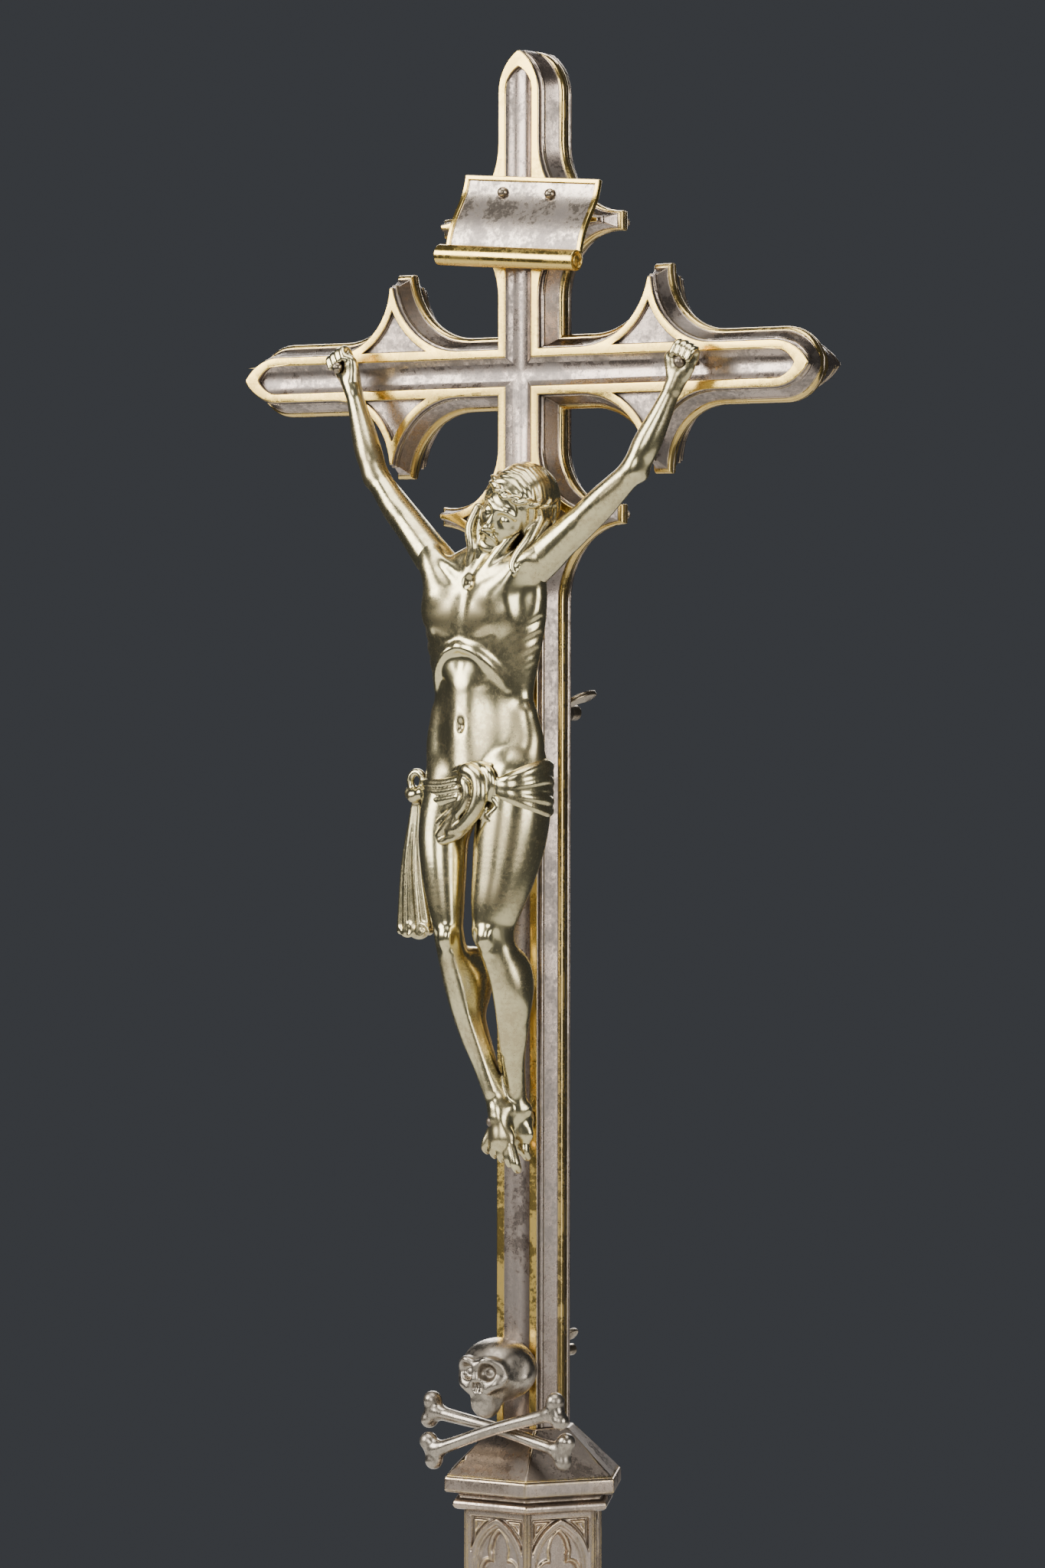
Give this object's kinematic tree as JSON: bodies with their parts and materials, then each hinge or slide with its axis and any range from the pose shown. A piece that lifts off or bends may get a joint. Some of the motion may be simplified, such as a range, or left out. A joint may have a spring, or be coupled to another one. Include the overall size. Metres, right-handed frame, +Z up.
{
  "type": "processional cross",
  "caption": "Cast cross with concave-sided cusps on a hexagonal lantern knop and pole socket, with a corpus, blank title scroll, skull and crossed bones.",
  "frame": {"origin": "centre of the pole socket's mouth, on its axis", "axes": "+Z up the pole, -Y towards the front that carries the corpus, +X to the viewer's right of the front"},
  "size_m": [0.17, 0.0632, 0.4837],
  "materials": {
    "cross_cast": "cast and worn silvered brass, rails polished, hollows dark",
    "corpus_cast": "worn silvered brass, polished high points",
    "scroll_cast": "worn silvered brass with dark hollows",
    "skull_cast": "worn silvered brass with dark hollows",
    "knop_cast": "worn silvered brass, gold-coloured arrises",
    "socket_turned": "turned and polished brass",
    "brass_hardware": "dull brass",
    "steel_hardware": "dull screwed steel"
  },
  "bodies": {
    "frame": {"cap_roof": "knop_cast", "corpus_body": "corpus_cast", "corpus_left_arm": "corpus_cast", "corpus_right_arm": "corpus_cast", "corpus_stud": "brass_hardware", "cross_back_shell": "cross_cast", "cross_front_shell": "cross_cast", "crossbone_back": "skull_cast", "crossbone_front": "skull_cast", "foot_nail": "brass_hardware", "hand_nails": "brass_hardware", "lantern_panel_1": "knop_cast", "lantern_panel_2": "knop_cast", "lantern_panel_3": "knop_cast", "lantern_panel_4": "knop_cast", "lantern_panel_5": "knop_cast", "lantern_panel_6": "knop_cast", "lower_cornice": "knop_cast", "pole_socket": "socket_turned", "scroll_pins": "scroll_cast", "scroll_plate": "scroll_cast", "shaft_foot_plug": "brass_hardware", "skull": "skull_cast", "skull_stud": "brass_hardware", "socket_collar": "socket_turned", "socket_mouth_ring": "socket_turned", "tie_rod": "steel_hardware", "tie_rod_nut": "steel_hardware", "tie_rod_washer": "steel_hardware", "under_roof": "knop_cast", "upper_cornice": "knop_cast"},
    "corpus_washer_ring": {"corpus_washer": "brass_hardware"},
    "corpus_nut": {"corpus_wing_nut": "brass_hardware"},
    "skull_washer_ring": {"skull_washer": "brass_hardware"},
    "skull_nut": {"skull_wing_nut": "brass_hardware"},
    "pad": {"clamp_pad": "brass_hardware"},
    "screw": {"thumb_screw": "brass_hardware"}
  },
  "joints": [
    {"name": "corpus_washer_slide", "type": "slide", "parent": "frame", "child": "corpus_washer_ring", "axis": [0, 1, 0], "range_m": [0, 0.0035]},
    {"name": "corpus_nut_turn", "type": "hinge", "parent": "corpus_washer_ring", "child": "corpus_nut", "pos_m": [0, 0.0085, 0.3194], "axis": [0, 1, 0], "range_deg": [0, 1800]},
    {"name": "skull_washer_slide", "type": "slide", "parent": "frame", "child": "skull_washer_ring", "axis": [0, 1, 0], "range_m": [0, 0.0025]},
    {"name": "skull_nut_turn", "type": "hinge", "parent": "skull_washer_ring", "child": "skull_nut", "pos_m": [0, 0.0085, 0.159], "axis": [0, 1, 0], "range_deg": [0, 1800]},
    {"name": "pad_slide", "type": "slide", "parent": "frame", "child": "pad", "axis": [0, -1, 0], "range_m": [0, 0.003]},
    {"name": "thumb_screw_turn", "type": "hinge", "parent": "pad", "child": "screw", "pos_m": [0, 0.016, 0.024], "axis": [0, -1, 0], "range_deg": [0, 1080]}
  ],
  "couplings": [
    {"joint": "corpus_washer_slide", "follows": "corpus_nut_turn", "m_per_rad": 0.00011141},
    {"joint": "skull_washer_slide", "follows": "skull_nut_turn", "m_per_rad": 0.000079577},
    {"joint": "pad_slide", "follows": "thumb_screw_turn", "m_per_rad": 0.00015915}
  ]
}
